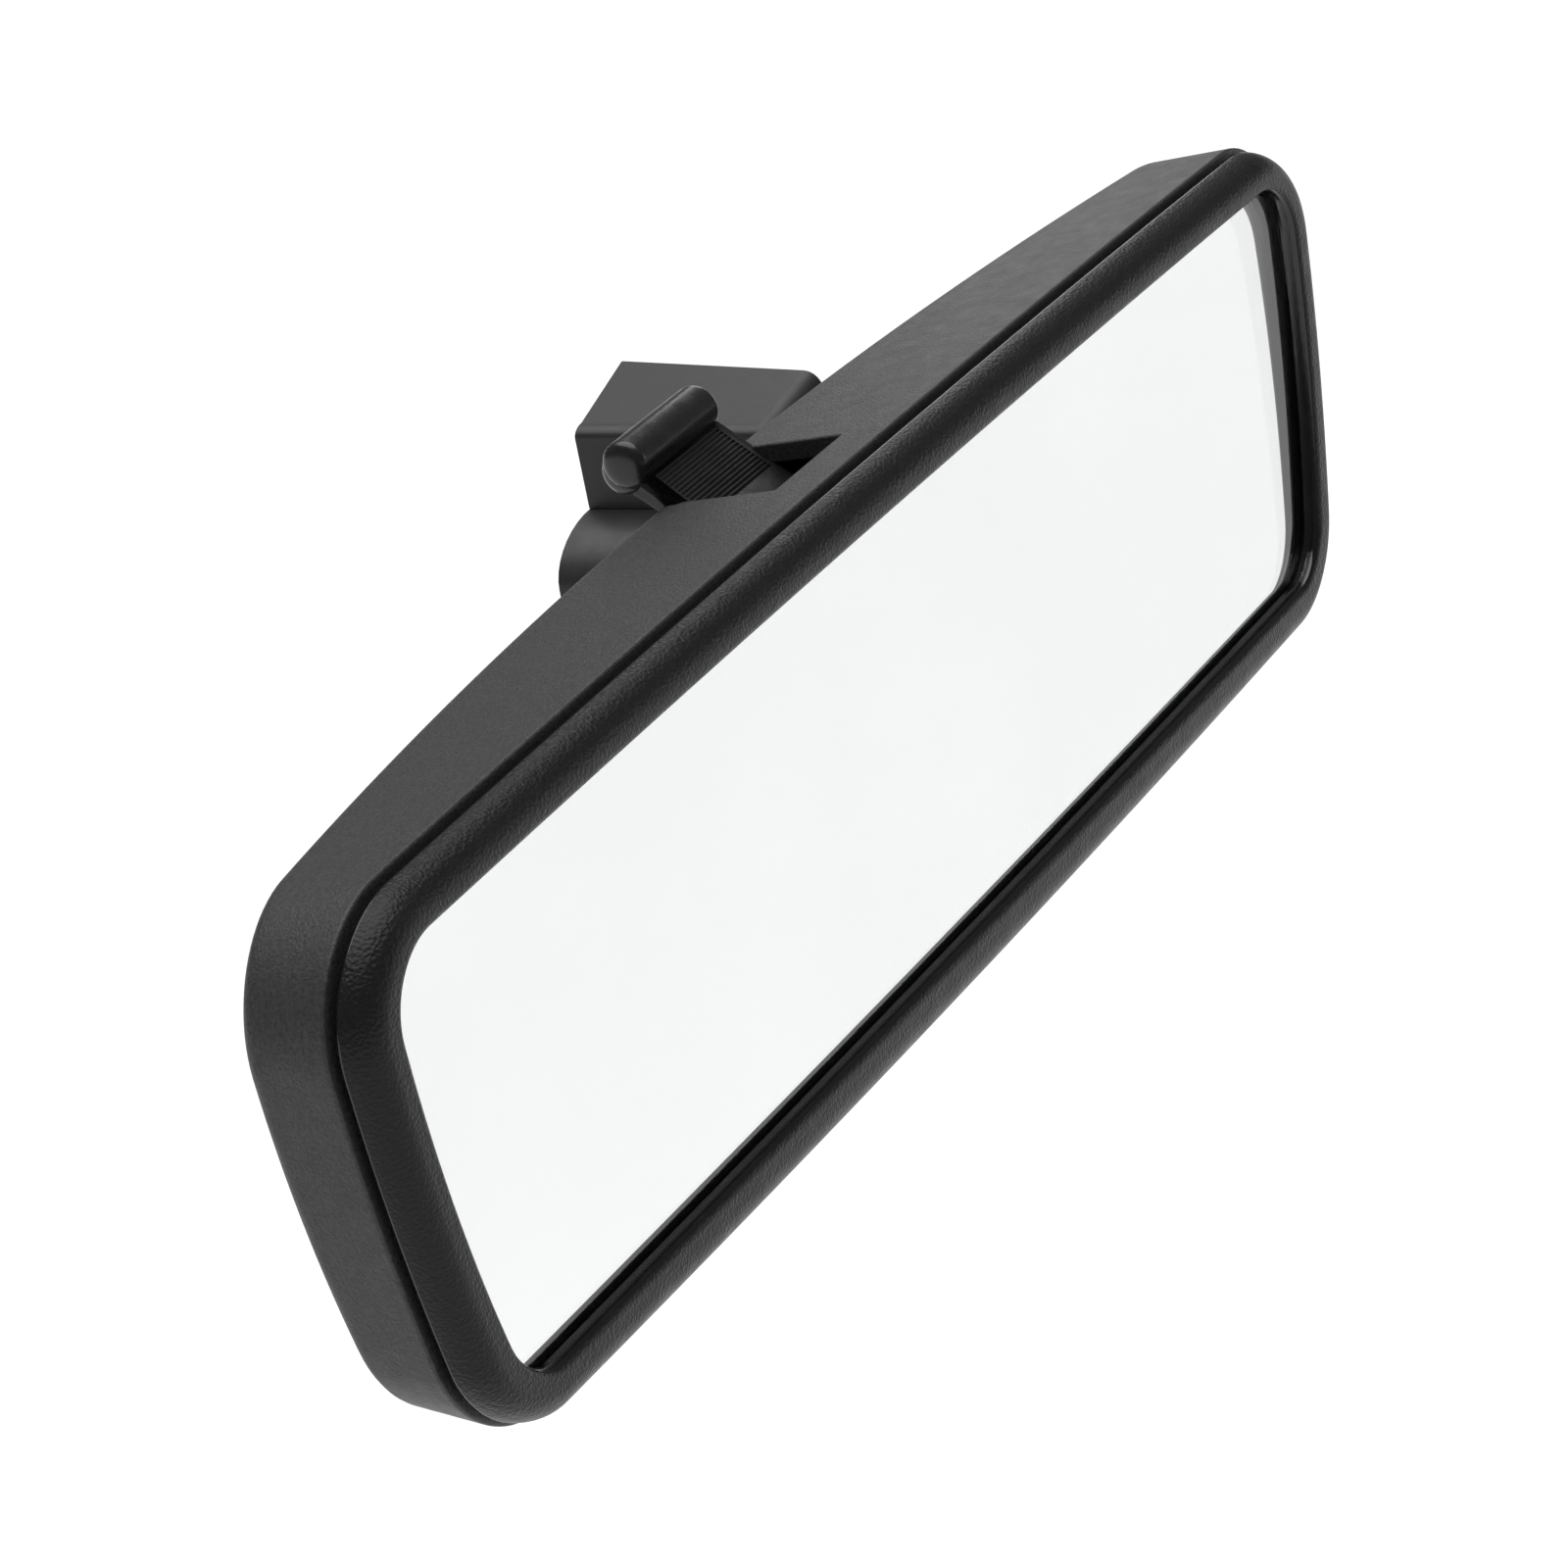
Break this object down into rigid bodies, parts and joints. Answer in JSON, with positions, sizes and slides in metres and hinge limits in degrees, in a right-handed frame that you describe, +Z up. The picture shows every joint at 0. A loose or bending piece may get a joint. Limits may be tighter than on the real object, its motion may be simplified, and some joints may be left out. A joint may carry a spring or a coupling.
{
  "type": "interior rearview mirror",
  "caption": "Wide day/night prismatic mirror head in a thin rounded frame, with a flip lever, on a ball-jointed arm and a windscreen foot.",
  "frame": {"origin": "on the foot's windscreen face, on its centre line, at the middle of the land above the button slot", "axes": "+X along the head, towards the side that the foot is on; +Y out of the windscreen face, towards the windscreen, so the mirror glass faces -Y; +Z up, towards the lever's side of the head"},
  "size_m": [0.2448, 0.0662, 0.0726],
  "materials": {
    "housing_plastic": "moulded black plastic with a fine spark-eroded grain",
    "bezel_plastic": "moulded black plastic with a soft leather grain, satin",
    "lever_plastic": "smooth black plastic, satin to gloss",
    "foot_plastic": "smooth satin black plastic",
    "socket_plastic": "smooth satin black plastic, fluted",
    "inner_plastic": "glass-filled black nylon",
    "nylon": "natural acetal",
    "mirror_glass": "polished prismatic glass",
    "silvering": "silver layer with a grey backing paint",
    "foam": "closed-cell foam",
    "bright_steel": "zinc plated",
    "black_steel": "black oxide",
    "spring_steel": "bright spring strip"
  },
  "bodies": {
    "mount": {"foot_body": "foot_plastic", "foot_cover": "foot_plastic", "button_clip": "spring_steel", "retaining_screw": "black_steel", "arm": "foot_plastic", "arm_screws": "black_steel", "ball_stud": "bright_steel"},
    "liner": {"socket_liner": "nylon"},
    "ring": {"retaining_ring": "bright_steel"},
    "bracket": {"pivot_bracket": "inner_plastic", "pressure_seat": "nylon", "tension_spring": "spring_steel", "socket_cap": "socket_plastic", "leaf_spring": "spring_steel", "spring_rivets": "bright_steel"},
    "head": {"rear_housing": "housing_plastic", "bezel": "bezel_plastic", "mirror_glass": "mirror_glass", "mirror_coating": "silvering", "backing_pad": "foam", "hinge_pin": "bright_steel", "lever_pin": "bright_steel", "pin_clips": "spring_steel"},
    "lever": {"lever": "lever_plastic"}
  },
  "joints": [
    {"name": "ball_swivel", "type": "hinge", "parent": "mount", "child": "liner", "pos_m": [-0.0464, -0.034, -0.005], "axis": [0, 0, 1], "range_deg": [-20, 9]},
    {"name": "ball_roll", "type": "hinge", "parent": "liner", "child": "ring", "pos_m": [-0.0464, -0.034, -0.005], "axis": [0, 1, 0], "range_deg": [-10, 10]},
    {"name": "ball_tilt", "type": "hinge", "parent": "ring", "child": "bracket", "pos_m": [-0.0464, -0.034, -0.005], "axis": [1, 0, 0], "range_deg": [-7, 10]},
    {"name": "head_flip", "type": "hinge", "parent": "bracket", "child": "head", "pos_m": [-0.0464, -0.052, -0.028], "axis": [1, 0, 0], "range_deg": [0, 4.5]},
    {"name": "lever_flip", "type": "hinge", "parent": "head", "child": "lever", "pos_m": [-0.0464, -0.0518, 0.0166], "axis": [1, 0, 0], "range_deg": [0, 35]}
  ],
  "couplings": [
    {"joint": "lever_flip", "follows": "head_flip", "ratio": 7.7777}
  ]
}
